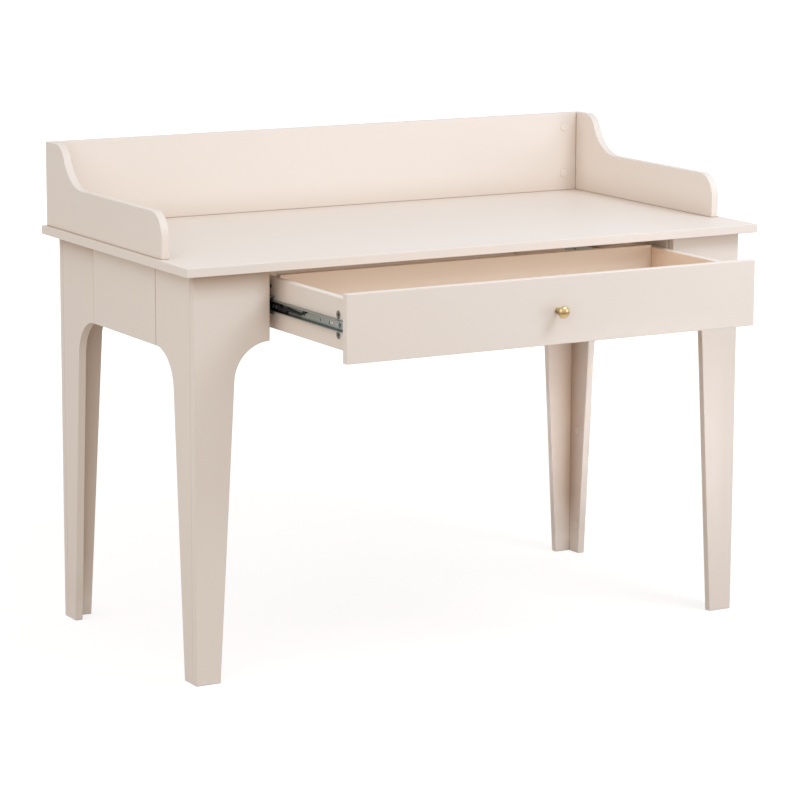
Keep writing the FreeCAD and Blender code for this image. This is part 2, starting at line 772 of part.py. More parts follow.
# Cam locks and dowels of the legs and aprons
apron_mid = apron_under + dim.apron_height / 2
leg_cam_heights = (dim.leg_cam_low, dim.leg_cam_low + dim.leg_cam_pitch, apron_mid)
rear_apron_mid = (drawer_under + top_under) / 2
for hand, side in SIDES:
    face = (frame_right - dim.board) * side
    mid_board = (frame_right - dim.board / 2) * side
    for end, joint_y, pull, seam_y in (
        ("front", front_leaf_back, -Y, side_apron_front),
        ("rear", rear_leaf_front, Y, side_apron_rear),
    ):
        leaf = f"side_leaf_{end}_{hand}"
        apron = f"side_apron_{hand}"
        cam_y = joint_y - dim.leg_cam_setback * pull.y
        for height in leg_cam_heights:
            cam_joint(
                "leg", dim.leg_cam_setback, leaf, f"{end}_leaf_{hand}",
                (face, cam_y, height), X * -side, pull)
        cam_joint(
            "apron", dim.apron_cam_setback, apron, leaf,
            (face, seam_y - dim.apron_cam_setback * pull.y, apron_mid), X * -side, pull, covered=False)
        for step in (-1, 1):
            height = apron_mid + dim.apron_dowel_pitch / 2 * step
            dowel_joint(apron, leaf, (mid_board, seam_y, height), Y)
    rear_leaf = f"rear_leaf_{hand}"
    seam_x = opening_right * side
    cam_joint(
        "apron", dim.apron_cam_setback, "rear_apron", rear_leaf,
        (seam_x - dim.apron_cam_setback * side, rear_leaf_front, rear_apron_mid), -Y, X * side, covered=False)
    for step in (-1, 1):
        height = rear_apron_mid + dim.apron_dowel_pitch / 2 * step
        dowel_joint("rear_apron", rear_leaf, (seam_x, frame_rear - dim.board / 2, height), X)

# Gallery: cam locks in its back, and screws that come up through the top
for hand, side in SIDES:
    cam_x = (gallery_inside - dim.gallery_cam_setback) * side
    for height in (dim.gallery_cam_low, dim.gallery_height - dim.gallery_cam_drop):
        cam_joint(
            "gallery", dim.gallery_cam_setback, "gallery_back", f"gallery_side_{hand}",
            (cam_x, gallery_back_face, dim.top_height + height), -Y, X * side)
    for share in GALLERY_SIDE_SCREW_SHARES:
        spot = ((gallery_right - dim.board / 2) * side, gallery_rear - dim.gallery_length * share, top_under)
        countersunk_joint(
            "gallery_screws", gallery_screw, dim.gallery_screw_length,
            ("top_panel", f"gallery_side_{hand}"), spot, Z)
for share in GALLERY_BACK_SCREW_SHARES:
    spot = (gallery_inside * (2 * share - 1), gallery_rear - dim.board / 2, top_under)
    countersunk_joint(
        "gallery_screws", gallery_screw, dim.gallery_screw_length, ("top_panel", "gallery_back"), spot, Z)


def fix_bracket(host, mate, point, out, onto):
    """One bracket in the corner between two boards, with a screw into each."""
    fasteners["angle_brackets"].append(moved(bracket.Shape, towards(point, out, onto)))
    seat, offset = dim.bracket_sheet, dim.bracket_hole_offset
    host_seat = [at + seat * step - offset * turn for at, step, turn in zip(point, out, onto)]
    mate_seat = [at + offset * step - seat * turn for at, step, turn in zip(point, out, onto)]
    pan_joint("bracket_screws", host, host_seat, -out)
    pan_joint("bracket_screws", mate, mate_seat, onto)


# Angle brackets that hold the top to the frame, and the runner panels to the leaves
side_apron_length = side_apron_rear - side_apron_front
runner_length = rear_leaf_front - front_leaf_back
for share in BRACKET_SHARES:
    rear_spot = (box_inside * (2 * share - 1), rear_leaf_front, top_under)
    fix_bracket("rear_apron", "top_panel", rear_spot, -Y, Z)
    for hand, side in SIDES:
        apron_y = side_apron_front + side_apron_length * share
        apron_spot = ((frame_right - dim.board) * side, apron_y, top_under)
        fix_bracket(f"side_apron_{hand}", "top_panel", apron_spot, X * -side, Z)
        runner_y = front_leaf_back + runner_length * share
        runner_spot = ((runner_inside + dim.board) * side, runner_y, top_under)
        fix_bracket(f"runner_panel_{hand}", "top_panel", runner_spot, X * side, Z)
runner_mid = top_under - dim.runner_height / 2
for hand, side in SIDES:
    corner_x = (runner_inside + dim.board) * side
    for end, end_y, onto in (("front", front_leaf_back, -Y), ("rear", rear_leaf_front, Y)):
        fix_bracket(
            f"runner_panel_{hand}", f"{end}_leaf_{hand}", (corner_x, end_y, runner_mid), X * side, onto)

# Drawer corners: cam locks at the front, countersunk screws at the back
back_mid = (bottom_high + box_upper) / 2
for hand, side in SIDES:
    box_side = f"drawer_side_{hand}"
    for step in (-1, 1):
        cam_joint(
            "drawer", dim.drawer_cam_setback, box_side, "drawer_front",
            (box_right * side, drawer_face_back + dim.drawer_cam_setback,
             slide_mid_z + dim.drawer_cam_pitch / 2 * step),
            X * side, -Y, covered=False)
        countersunk_joint(
            "drawer_back_screws", drawer_screw, dim.drawer_screw_length, (box_side, "drawer_back"),
            (box_right * side, back_rear - dim.board / 2, back_mid + dim.drawer_screw_pitch / 2 * step),
            X * -side)

# Knob screw through the middle of the drawer front
knob_hole = bar(
    dim.knob_screw + dim.hole_play * 2, dim.board + dim.overrun * 2,
    (ZERO, drawer_face - dim.overrun, slide_mid_z), Y)
bores["drawer_front"].append(knob_hole)


def c_channel(name, depth, height):
    """A bent channel with its web at x zero and its flanges towards positive x, running along y."""
    body = doc.addObject("PartDesign::Body", name)
    sketch = new_sketch(body, "XZ_Plane")
    sheet = dim.slide_sheet
    inner = dim.slide_bend - sheet
    low, high = -height / 2, height / 2
    draw_outline(sketch, (
        (ZERO, low, dim.slide_bend), (depth, low), (depth, low + sheet), (sheet, low + sheet, inner),
        (sheet, high - sheet, inner), (depth, high - sheet), (depth, high), (ZERO, high, dim.slide_bend)))
    pad(body, sketch, dim.slide_length, backwards=True)
    return body


def slot_tool(name, x_start, depth, middle):
    """A flat slot with square ends through a web, centred along y on a place."""
    half_long, half_high = dim.slot_length / 2, dim.slot_height / 2
    low = (x_start, middle - half_long, -half_high)
    high = (x_start + depth, middle + half_long, half_high)
    return box(name, low, high)


# Slides, in a frame with x out from the drawer side, y from the front end and z at mid height
web_cut = dim.slide_sheet + dim.overrun * 2
screw_hole = dim.pan_screw + dim.hole_play * 2
rivet_hole = dim.rivet + dim.rivet_run * 2
ball_room = dim.ball + dim.ball_run * 2
cabinet_height = dim.member_height + (ball_room + dim.slide_sheet) * 2
ball_height = dim.member_height / 2 + ball_room / 2
cage_depth = cage_back - dim.cage_lip
cage_height = ball_height * 2 + dim.cage_sheet
cabinet_front = front_leaf_back + dim.slide_setback
cage_front = cabinet_front + dim.cage_setback
cage_length = box_rear - cage_front - dim.cage_end_play
ball_gaps = math.floor((cage_length - dim.ball * 2).value / dim.ball_pitch.value)
ball_places = [cage_length / 2 + dim.ball_pitch * (index - ball_gaps / 2) for index in range(ball_gaps + 1)]
lever_rear = dim.slide_length - dim.lever_inset
lever_front = lever_rear - dim.lever_length
pivot_y = lever_rear - dim.pivot_inset
guide_y = pivot_y + dim.rivet_pitch
drawer_screw_places = (dim.drawer_slide_screw, lever_rear + dim.lever_screw_gap)
drawer_hole_places = [dim.slide_length * share for share in DRAWER_HOLE_SHARES]
cabinet_screw_places = [dim.slide_length * share for share in CABINET_SCREW_SHARES]
cabinet_slot_places = [dim.slide_length * share for share in CABINET_SLOT_SHARES]


def lever_body(name):
    """A flat release lever: a riveted block, a thin bar and a hooked thumb tab at the front."""
    body = doc.addObject("PartDesign::Body", name)
    sketch = new_sketch(body, "YZ_Plane")
    half = dim.member_height / 2 - dim.slide_sheet - dim.lever_side_gap
    draw_outline(sketch, [
        (lever_front + dim.lever_length * along, half * up) for along, up in LEVER_SHARES])
    pad(body, sketch, dim.lever_thickness)
    start = (-dim.overrun, pivot_y, ZERO)
    deep = dim.lever_thickness + dim.overrun * 2
    guide_start = (-dim.overrun, guide_y, ZERO)
    return cut(
        name + "_drilled", body,
        cylinder(name + "_pivot", rivet_hole, deep, start, Y, 90),
        cylinder(name + "_guide", dim.rivet + dim.guide_play * 2, deep, guide_start, Y, 90))


def rivet_body(name, y):
    """A rivet from the web out through the lever, with its head over the lever."""
    shank_length = dim.slide_sheet + dim.lever_rise * 2 + dim.lever_thickness
    shank = cylinder(name + "_shank", dim.rivet, shank_length, (ZERO, y, ZERO), Y, 90)
    head = cylinder(name + "_head", dim.rivet_head, dim.rivet_head_height, (shank_length, y, ZERO), Y, 90)
    return fuse(name, shank, head)


def drawer_member(name):
    """The drawer's half of a slide, with its slot, screw holes, rivet holes and spare holes."""
    channel = c_channel(name + "_channel", dim.member_depth, dim.member_height)
    cuts = [slot_tool(name + "_slot", -dim.overrun, web_cut, dim.drawer_slide_slot)]
    for kind, diameter, places in (
        ("screw", screw_hole, drawer_screw_places),
        ("rivet", rivet_hole, (pivot_y, guide_y)),
        ("spare", dim.web_hole, drawer_hole_places),
    ):
        for index, y in enumerate(places):
            start = (-dim.overrun, y, ZERO)
            cuts.append(cylinder(f"{name}_{kind}{index}", diameter, web_cut, start, Y, 90))
    return cut(name, channel, *cuts)


def cabinet_member(name):
    """The desk's half of a slide: a wider channel that faces the drawer."""
    channel = c_channel(name + "_channel", slide_room - dim.flange_gap, cabinet_height)
    place(channel, (slide_room, dim.slide_length, ZERO), Z, 180)
    start = slide_room - dim.slide_sheet - dim.overrun
    holes = []
    for index, y in enumerate(cabinet_screw_places):
        holes.append(cylinder(f"{name}_screw{index}", screw_hole, web_cut, (start, y, ZERO), Y, 90))
    for index, y in enumerate(cabinet_slot_places):
        holes.append(slot_tool(f"{name}_slot{index}", start, web_cut, y))
    return cut(name, channel, *holes)


def ball_cage(name):
    """The cage that keeps the two rows of balls apart."""
    body = doc.addObject("PartDesign::Body", name + "_strip")
    sketch = new_sketch(body, "XZ_Plane")
    low, high = -cage_height / 2, cage_height / 2
    sheet = dim.cage_sheet
    draw_outline(sketch, (
        (ZERO, low), (cage_depth, low), (cage_depth, low + sheet), (sheet, low + sheet),
        (sheet, high - sheet), (cage_depth, high - sheet), (cage_depth, high), (ZERO, high)))
    pad(body, sketch, cage_length, backwards=True)
    place(body, (cage_back, cage_length, ZERO), Z, 180)
    holes = []
    for index, y in enumerate(ball_places):
        start = (dim.member_depth / 2, y, -ball_height - dim.overrun)
        long = (ball_height + dim.overrun) * 2
        holes.append(cylinder(f"{name}_hole{index}", dim.ball + dim.hole_play * 2, long, start))
    return cut(name, body, *holes)


member_shape = drawer_member("drawer_member_pattern")
cabinet_shape = cabinet_member("cabinet_member_pattern")
cage_shape = ball_cage("ball_cage_pattern")
lever_shape = lever_body("release_lever_pattern")
rivets = (rivet_body("pivot_rivet_pattern", pivot_y), rivet_body("guide_rivet_pattern", guide_y))
doc.recompute()


def add_node(label, shape):
    """A finished sub-part that holds a placed shape."""
    item = doc.addObject("Part::Feature", label)
    item.Shape = shape
    nodes[label] = item


def seat(side, y):
    """The place of a slide on one side: the left one is the right one turned over."""
    angle = 0 if side > 0 else 180
    return FreeCAD.Placement(vector((box_right * side, y, slide_mid_z)), FreeCAD.Rotation(Y, angle))


for hand, side in SIDES:
    at_drawer = seat(side, drawer_face_back)
    at_desk = seat(side, cabinet_front)
    at_cage = seat(side, cage_front)
    lever_step = vector((dim.slide_sheet + dim.lever_rise, ZERO, ZERO))
    at_lever = at_drawer.multiply(FreeCAD.Placement(lever_step, FreeCAD.Rotation()))
    add_node(f"slide_drawer_member_{hand}", moved(member_shape.Shape, at_drawer))
    add_node(f"slide_cabinet_member_{hand}", moved(cabinet_shape.Shape, at_desk))
    add_node(f"ball_cage_{hand}", moved(cage_shape.Shape, at_cage))
    add_node(f"release_lever_{hand}", moved(lever_shape.Shape, at_lever))
    fasteners["lever_rivets"] += [moved(rivet.Shape, at_drawer) for rivet in rivets]
    for y in ball_places:
        for row in (-1, 1):
            middle = vector((dim.member_depth / 2, y, ball_height * row))
            ball = Part.makeSphere(dim.ball.value / 2, middle)
            fasteners[f"slide_balls_{hand}"].append(moved(ball, at_cage))
    for y in drawer_screw_places:
        spot = ((box_right + dim.slide_sheet) * side, drawer_face_back + y, slide_mid_z)
        pan_joint("drawer_slide_screws", f"drawer_side_{hand}", spot, X * -side)
    for y in cabinet_screw_places:
        spot = ((runner_inside - dim.slide_sheet) * side, cabinet_front + y, slide_mid_z)
        pan_joint("cabinet_slide_screws", f"runner_panel_{hand}", spot, X * side)


def knob():
    """A turned knob: a plain stem and a flattened ball, bored from behind for its screw."""
    body = doc.addObject("PartDesign::Body", "knob_turned")
    sketch = new_sketch(body, "XY_Plane")
    stem = dim.knob_stem / 2
    rim_x, rim_y = stem + dim.knob_shoulder, dim.knob_stem_length + dim.knob_rim
    crown = knob_reach - rim_y
    radius = (rim_x.value ** 2 + crown.value ** 2 - dim.knob_rim.value ** 2) / (2 * dim.knob_dome.value)
    turn = math.atan2(radius - crown.value, rim_x.value)
    corners = [
        vector((across, up, ZERO)) for across, up in (
            (ZERO, ZERO), (stem, ZERO), (stem, dim.knob_stem_length), (rim_x, dim.knob_stem_length),
            (ZERO, knob_reach))]
    rim = Part.Circle(vector((rim_x, rim_y, ZERO)), Z, dim.knob_rim.value)
    dome = Part.Circle(FreeCAD.Vector(0, knob_reach.value - radius), Z, radius)
    items = (
        Part.LineSegment(corners[0], corners[1]),
        Part.LineSegment(corners[1], corners[2]),
        Part.LineSegment(corners[2], corners[3]),
        Part.ArcOfCircle(rim, -math.pi / 2, turn),
        Part.ArcOfCircle(dome, turn, math.pi / 2),
        Part.LineSegment(corners[4], corners[0]),
    )
    foot, side, neck, rim, dome, axis = (sketch.addGeometry(item, False) for item in items)
    constrain(sketch, "Coincident", foot, 1, -1, 1)
    for first, second in ((foot, side), (side, neck), (dome, axis), (axis, foot)):
        constrain(sketch, "Coincident", first, 2, second, 1)
    constrain(sketch, "Tangent", neck, 2, rim, 1)
    constrain(sketch, "Tangent", rim, 2, dome, 1)
    constrain(sketch, "PointOnObject", dome, 3, -2)
    for item in (foot, neck):
        constrain(sketch, "Horizontal", item)
    for item in (side, axis):
        constrain(sketch, "Vertical", item)
    constrain(sketch, "DistanceX", foot, 1, foot, 2, size=stem)
    constrain(sketch, "DistanceY", side, 1, side, 2, size=dim.knob_stem_length)
    constrain(sketch, "DistanceX", -1, 1, rim, 3, size=rim_x)
    constrain(sketch, "Radius", rim, size=dim.knob_rim)
    constrain(sketch, "DistanceY", axis, 2, axis, 1, size=knob_reach)
    turned = body.newObject("PartDesign::Revolution", "knob_revolved")
    turned.Profile = sketch
    turned.ReferenceAxis = (sketch, ["V_Axis"])
    place(body, (ZERO, drawer_face, slide_mid_z), Z, 180)
    depth = dim.knob_screw_grip + dim.hole_end_play
    start = (ZERO, drawer_face - depth, slide_mid_z)
    hole = cylinder("knob_bore", dim.knob_screw + dim.hole_play * 2, depth + dim.overrun, start, X, -90)
    return cut("knob", body, hole)


nodes["knob"] = knob()
knob_screw = pan_pattern(
    "knob_screw_pattern", dim.knob_screw, dim.board + dim.knob_screw_grip,
    dim.knob_screw_head, dim.knob_screw_head_height)
doc.recompute()
fasteners["knob_screw"].append(moved(knob_screw.Shape, pointing((ZERO, drawer_face_back, slide_mid_z), -Y)))

# Boards with their bores, and groups of small fittings
for label, blank in blanks.items():
    if not bores[label]:
        blank.Label = label
        nodes[label] = blank
        continue
    tool = doc.addObject("Part::Feature", label + "_bores")
    first, *rest = bores[label]
    tool.Shape = first.multiFuse(rest) if rest else first
    nodes[label] = cut(label, blank, tool)
for label, solids in fasteners.items():
    add_node(label, Part.makeCompound(solids))

doc.recompute()
for item in doc.Objects:
    if "Invalid" in item.State or "Error" in item.State:
        raise RuntimeError(f"{item.Name} failed: {item.State}")
for label, item in nodes.items():
    if item.Label != label:
        raise RuntimeError(f"{label} is labelled {item.Label}")
    if item.Shape.isNull() or not item.Shape.isValid():
        raise RuntimeError(f"{label} has no valid shape")
    item.Shape.exportStep(f"parts/{label}.step")
print(f"{len(nodes)} nodes, {sum(len(item.Shape.Solids) for item in nodes.values())} solids")
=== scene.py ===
# %% [markdown]
# A cream writing desk stands on four tapered legs. It has a low rail round its top and one wide drawer,
# which stands open on its slides. The boards and fittings arrive as a finished model, each at its real
# size and in its place. This lesson gives them their finish, their light and their camera. Blender could
# also model the boards afresh, but then two models would have to agree, so only the knob is made again.

# %% Load the desk
import math

import bpy
import numpy as np
from mathutils import Matrix, Vector


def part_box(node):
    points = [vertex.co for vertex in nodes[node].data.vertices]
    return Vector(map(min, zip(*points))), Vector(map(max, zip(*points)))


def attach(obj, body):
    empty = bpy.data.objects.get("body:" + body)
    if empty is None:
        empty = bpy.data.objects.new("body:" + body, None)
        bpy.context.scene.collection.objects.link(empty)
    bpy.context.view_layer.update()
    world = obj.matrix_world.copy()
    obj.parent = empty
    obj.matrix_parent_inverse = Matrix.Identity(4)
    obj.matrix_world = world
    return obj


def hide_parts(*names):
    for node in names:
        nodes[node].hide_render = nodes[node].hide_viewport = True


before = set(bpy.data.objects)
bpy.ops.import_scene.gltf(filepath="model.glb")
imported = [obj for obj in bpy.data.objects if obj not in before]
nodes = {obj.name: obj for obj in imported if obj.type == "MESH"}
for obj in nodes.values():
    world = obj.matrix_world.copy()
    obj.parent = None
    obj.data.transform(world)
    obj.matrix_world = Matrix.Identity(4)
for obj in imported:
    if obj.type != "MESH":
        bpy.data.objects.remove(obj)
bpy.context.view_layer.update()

# %% [markdown]
# A finish in Blender is a graph of shader nodes. Each node could be added, set and linked line by line, but
# that hides the idea behind the bookkeeping. These helpers add a node, give its inputs a value or a link
# and hand back what it puts out, so that a material reads as a few short sentences.

# %% Node helpers
def feed(tree, socket, value):
    """Give an input a link where the value comes from another node, and the value itself elsewhere."""
    if isinstance(value, bpy.types.NodeSocket):
        tree.links.new(value, socket)
    else:
        socket.default_value = value


def add(tree, kind, inputs=None, **settings):
    """Add a shader node, set its own properties, then give each input a value or a link."""
    node = tree.nodes.new("ShaderNode" + kind)
    for name, value in settings.items():
        setattr(node, name, value)
    for key, value in (inputs or {}).items():
        if isinstance(key, int):
            socket = node.inputs[key]
        else:
            socket = next(item for item in node.inputs if item.name == key and item.enabled)
        feed(tree, socket, value)
    return node


def calculate(tree, operation, *values):
    """One step of arithmetic on values that change over the surface."""
    return add(tree, "Math", dict(enumerate(values)), operation=operation).outputs[0]


def remap(tree, value, start, full, low=0.0, high=1.0):
    """Go evenly from low to high as a value goes from start to full, and stay there beyond."""
    inputs = {"Value": value, "From Min": start, "From Max": full, "To Min": low, "To Max": high}
    return add(tree, "MapRange", inputs).outputs["Result"]


def stretch(tree, value, low, high):
    """Stretch a value from 0 to 1 over the range from low to high."""
    return remap(tree, value, 0.0, 1.0, low, high)


def tint(tree, factor, first, second):
    """Go from the first colour to the second as the factor goes from 0 to 1."""
    mixed = add(tree, "Mix", {"Factor": factor, "A": first, "B": second}, data_type="RGBA")
    return next(item for item in mixed.outputs if item.enabled)


def noise(tree, place, scale, detail):
    """Smooth noise from 0 to 1 at so many waves to the metre, with so many finer layers on top."""
    inputs = {"Vector": place, "Scale": scale, "Detail": detail}
    return add(tree, "TexNoise", inputs).outputs["Fac"]


def object_place(tree):
    """Where a point of the surface lies in the object's own coordinates, in metres."""
    return add(tree, "TexCoord").outputs["Object"]


def along(tree, vector, axis):
    """One part of a vector: X, Y or Z."""
    return add(tree, "SeparateXYZ", {"Vector": vector}).outputs[axis]


print("node helpers ready")

# %% [markdown]
# Some effects serve many materials. Such an effect becomes a node group with named inputs and outputs, and
# each material sets the inputs to suit itself. The nodes could be repeated in every material instead, but
# then a change would have to be made many times.

# %% Group and material helpers
def new_group(name, inputs, outputs):
    """Start a node group with named float inputs and outputs."""
    tree = bpy.data.node_groups.new(name, "ShaderNodeTree")
    for label, value in inputs.items():
        tree.interface.new_socket(label, in_out="INPUT", socket_type="NodeSocketFloat").default_value = value
    for label in outputs:
        tree.interface.new_socket(label, in_out="OUTPUT", socket_type="NodeSocketFloat")
    return tree, tree.nodes.new("NodeGroupInput").outputs


def end_group(tree, **outputs):
    """Link the named results to what the group puts out."""
    end = tree.nodes.new("NodeGroupOutput")
    for label, value in outputs.items():
        tree.links.new(value, end.inputs[label])
    return tree


def effect(tree, group, **inputs):
    """Place a group in a material, with this material's own values."""
    node = tree.nodes.new("ShaderNodeGroup")
    node.node_tree = group
    for label, value in inputs.items():
        node.inputs[label].default_value = value
    return node.outputs


def blank_material(name):
    """A material with an empty node tree."""
    material = bpy.data.materials.new(name)
    material.use_nodes = True
    material.node_tree.nodes.clear()
    return material, material.node_tree


def new_material(name):
    """A bare material with a Principled shader, and its node tree."""
    material, tree = blank_material(name)
    shader = add(tree, "BsdfPrincipled")
    add(tree, "OutputMaterial", {"Surface": shader.outputs["BSDF"]})
    return material, tree, shader


def wire(tree, shader, **inputs):
    """Feed the shader's inputs. A name's underscores stand for spaces."""
    for name, value in inputs.items():
        feed(tree, shader.inputs[name.replace("_", " ")], value)


def relief(tree, height, depth):
    """Small relief, given by a height from 0 to 1 and its depth in metres."""
    return add(tree, "Bump", {"Height": height, "Distance": depth}).outputs["Normal"]


def show(name, data):
    """Put a mesh, a lamp or a camera into the scene as an object."""
    shown = bpy.data.objects.new(name, data)
    bpy.context.scene.collection.objects.link(shown)
    return shown


print("group and material helpers ready")

# %% [markdown]
# Sprayed paint is never one flat colour. Its coat is a little thicker here and thinner there, which shows as
# broad faint clouds, and it dries with a fine orange peel, which breaks up the gloss. A photograph of paint
# could be wrapped round the boards, but it would blur close up and repeat. Noise in the desk's own
# coordinates does neither, and one group serves paint, plastic and brass alike.

# %% Coat group
def coat_group():
    """Cloud: broad noise, for the colour. Peel: fine noise, for relief and gloss."""
    tree, given = new_group("coat", {"Cloud Scale": 4.0, "Peel Scale": 300.0}, ("Cloud", "Peel"))
    place = object_place(tree)
    broad = noise(tree, place, given["Cloud Scale"], detail=3.0)
    peel = noise(tree, place, given["Peel Scale"], detail=1.0)
    return end_group(tree, Cloud=broad, Peel=peel)


coat = coat_group()
print("coat group:", [item.name for item in coat.interface.items_tree])

# %% [markdown]
# At an upright corner two boards butt together, and the joint shows as a fine brown line. The lines could be
# drawn on each board, but the shader can find them alone: a Bevel node tells which way the surface would face
# if its corners were rounder, and where that differs from the way it does face there is an edge. Level edges
# are left out: there the rounded surface leans up or down.

# %% Edge group
LEVEL_FADE = 4.0


def edge_group():
    """Upright: how far the rounded normal leans from the real one, from 0 at Start to 1 at Full.

    It fades to 0 where the rounded normal points up or down, and is gone where the normal's upright part
    reaches one over the fade.
    """
    tree, given = new_group("edge", {"Reach": 0.002, "Start": 0.01, "Full": 0.06}, ("Upright",))
    rounded = add(tree, "Bevel", {"Radius": given["Reach"]}, samples=8).outputs["Normal"]
    facing = add(tree, "NewGeometry").outputs["Normal"]
    agreement = add(tree, "VectorMath", {0: rounded, 1: facing}, operation="DOT_PRODUCT").outputs["Value"]
    lean = calculate(tree, "SUBTRACT", 1.0, agreement)
    line = remap(tree, lean, given["Start"], given["Full"])
    tilt = calculate(tree, "ABSOLUTE", along(tree, rounded, "Z"))
    leaning = calculate(tree, "MINIMUM", calculate(tree, "MULTIPLY", tilt, LEVEL_FADE), 1.0)
    level = calculate(tree, "SUBTRACT", 1.0, leaning)
    return end_group(tree, Upright=calculate(tree, "MULTIPLY", line, level))


edge = edge_group()
print("edge group:", [item.name for item in edge.interface.items_tree])

# %% [markdown]
# Where two boards meet, the seam lies in shade and reads as a fine dark line, and the materials paint that
# shade on. The opposite of the edge group finds it: an Ambient Occlusion node asks how much of the space just
# outside the surface is closed off. With a reach of a few millimetres it marks seams, and with a longer one
# it marks hollows.

# %% Crevice group
def crevice_group():
    """Shade: the share of nearby space that is closed off, from 0 at Start to 1 at Full."""
    tree, given = new_group("crevice", {"Reach": 0.004, "Start": 0.3, "Full": 0.7}, ("Shade",))
    still_open = add(tree, "AmbientOcclusion", {"Distance": given["Reach"]}, samples=8).outputs["AO"]
    closed = calculate(tree, "SUBTRACT", 1.0, still_open)
    return end_group(tree, Shade=remap(tree, closed, given["Start"], given["Full"]))


crevice = crevice_group()
print("crevice group:", [item.name for item in crevice.interface.items_tree])

# %% [markdown]
# Rolled and turned metal carries fine lines from the tool. On a slide they run along its length. A line is
# noise that hardly changes in one direction and changes fast across it, so the group squeezes its coordinates
# before it asks for noise.

# %% Tool line group
def tool_line_group():
    """Line: noise squeezed along y, so that it runs in lines. Grain: fine even noise."""
    tree, given = new_group("tool_lines", {"Across": 1500.0, "Along": 12.0}, ("Line", "Grain"))
    place = object_place(tree)
    squeeze = add(tree, "CombineXYZ", {"X": given["Across"], "Y": given["Along"], "Z": given["Across"]})
    stretched = add(tree, "VectorMath", {0: place, 1: squeeze.outputs["Vector"]}, operation="MULTIPLY")
    line = noise(tree, stretched.outputs["Vector"], 1.0, detail=3.0)
    grain = noise(tree, place, given["Across"], detail=2.0)
    return end_group(tree, Line=line, Grain=grain)


tool_lines = tool_line_group()
print("tool line group:", [item.name for item in tool_lines.interface.items_tree])

# %% [markdown]
# The boards carry a warm cream paint with a satin gloss. Its colour drifts by a few hundredths between two
# creams, the peel roughens the gloss, the joints at the corners come out browner and the seams darker still,
# with painted shade. In a hollow, such as the inside of a leg, light goes from board to board and turns a
# warm brown. Soft lamps alone show too little of it, so the crevice group paints some shade on, with a longer
# reach. The height keeps it off the feet. The front leaf of the left leg lies in the deepest shade, under the
# top and beside the drawer, so its copy of the paint carries the most painted shade. The front of the drawer
# is one board, so it has no corner joint. The inside of the drawer takes a peachier cream, painted warm light
# for the light that bounces round in it. On the drawer's sides the inner face alone takes a deeper tan, as
# painted shade, and the way the surface faces tells which one it is.

# %% Cream paint
CREAM_LIGHT = (0.885, 0.785, 0.690, 1.0)
CREAM_DEEP = (0.860, 0.755, 0.655, 1.0)
WARM_BOUNCE_LIGHT = (0.875, 0.735, 0.60, 1.0)
WARM_BOUNCE_DEEP = (0.85, 0.705, 0.57, 1.0)
INNER_SHADE_LIGHT = (0.86, 0.675, 0.51, 1.0)
INNER_SHADE_DEEP = (0.84, 0.645, 0.48, 1.0)
INNER_SHADE_FROM = 0.4
INNER_SHADE_TO = 0.6
JOINT_BROWN = (0.36, 0.26, 0.19, 1.0)
SEAM_SHADE_BROWN = (0.16, 0.10, 0.065, 1.0)
SEAM_SHADE_SHARE = 0.45
SHADE_BROWN = (0.47, 0.30, 0.18, 1.0)
SHADE_FROM = 0.03
SHADE_TO = 0.12


def hollow_shade(tree, cream, shade, reach):
    """Turn a colour brown in hollows by up to the given share, which grows with the height off the floor."""
    hollow = effect(tree, crevice, Reach=reach, Start=0.04, Full=0.45)["Shade"]
    height = along(tree, object_place(tree), "Z")
    share = remap(tree, height, SHADE_FROM, SHADE_TO, high=shade)
    return tint(tree, calculate(tree, "MULTIPLY", hollow, share), cream, SHADE_BROWN)


def cream_coat(name, deep=CREAM_DEEP, light=CREAM_LIGHT, joint=0.5, shade=0.2, reach=0.05, inner_shade_side=0.0):
    """Satin coat: clouds drive the colour and the peel drives gloss and relief. Seams and hollows darken.

    The joint says how far the upright corners turn brown, the shade how far the hollows take painted shade,
    and the reach how near a board must stand to make one. An inner shade side of 1 or -1 paints the deeper
    tan of painted shade on faces that look that way along x.
    """
    material, tree, shader = new_material(name)
    film = effect(tree, coat, **{"Cloud Scale": 3.0, "Peel Scale": 320.0})
    # Painted shade: seams and inside corners darken towards a dark brown.
    seam = effect(tree, crevice, Reach=0.003, Start=0.15, Full=0.6)["Shade"]
    cream = tint(tree, film["Cloud"], deep, light)
    # Painted shade: faces that look inward along x take a deeper tan.
    if inner_shade_side != 0.0:
        facing = add(tree, "NewGeometry").outputs["Normal"]
        inward = calculate(tree, "MULTIPLY", along(tree, facing, "X"), inner_shade_side)
        inner_shaded = remap(tree, inward, INNER_SHADE_FROM, INNER_SHADE_TO)
        cream = tint(tree, inner_shaded, cream, tint(tree, film["Cloud"], INNER_SHADE_DEEP, INNER_SHADE_LIGHT))
    if joint > 0.0:
        corner = effect(tree, edge, Reach=0.0018, Start=0.012, Full=0.05)["Upright"]
        cream = tint(tree, calculate(tree, "MULTIPLY", corner, joint), cream, JOINT_BROWN)
    cream = hollow_shade(tree, cream, shade, reach)
    wire(
        tree, shader,
        Base_Color=tint(tree, calculate(tree, "MULTIPLY", seam, SEAM_SHADE_SHARE), cream, SEAM_SHADE_BROWN),
        Roughness=stretch(tree, film["Peel"], low=0.38, high=0.52),
        Normal=relief(tree, film["Peel"], depth=0.00006),
    )
    return material


finishes = {"cream_paint": cream_coat("cream_paint_satin")}
# Painted warm light: the drawer's back and bottom take a peachier cream, for light bouncing round inside.
warm_bounce = cream_coat("cream_foil_satin", WARM_BOUNCE_DEEP, WARM_BOUNCE_LIGHT, shade=0.05)
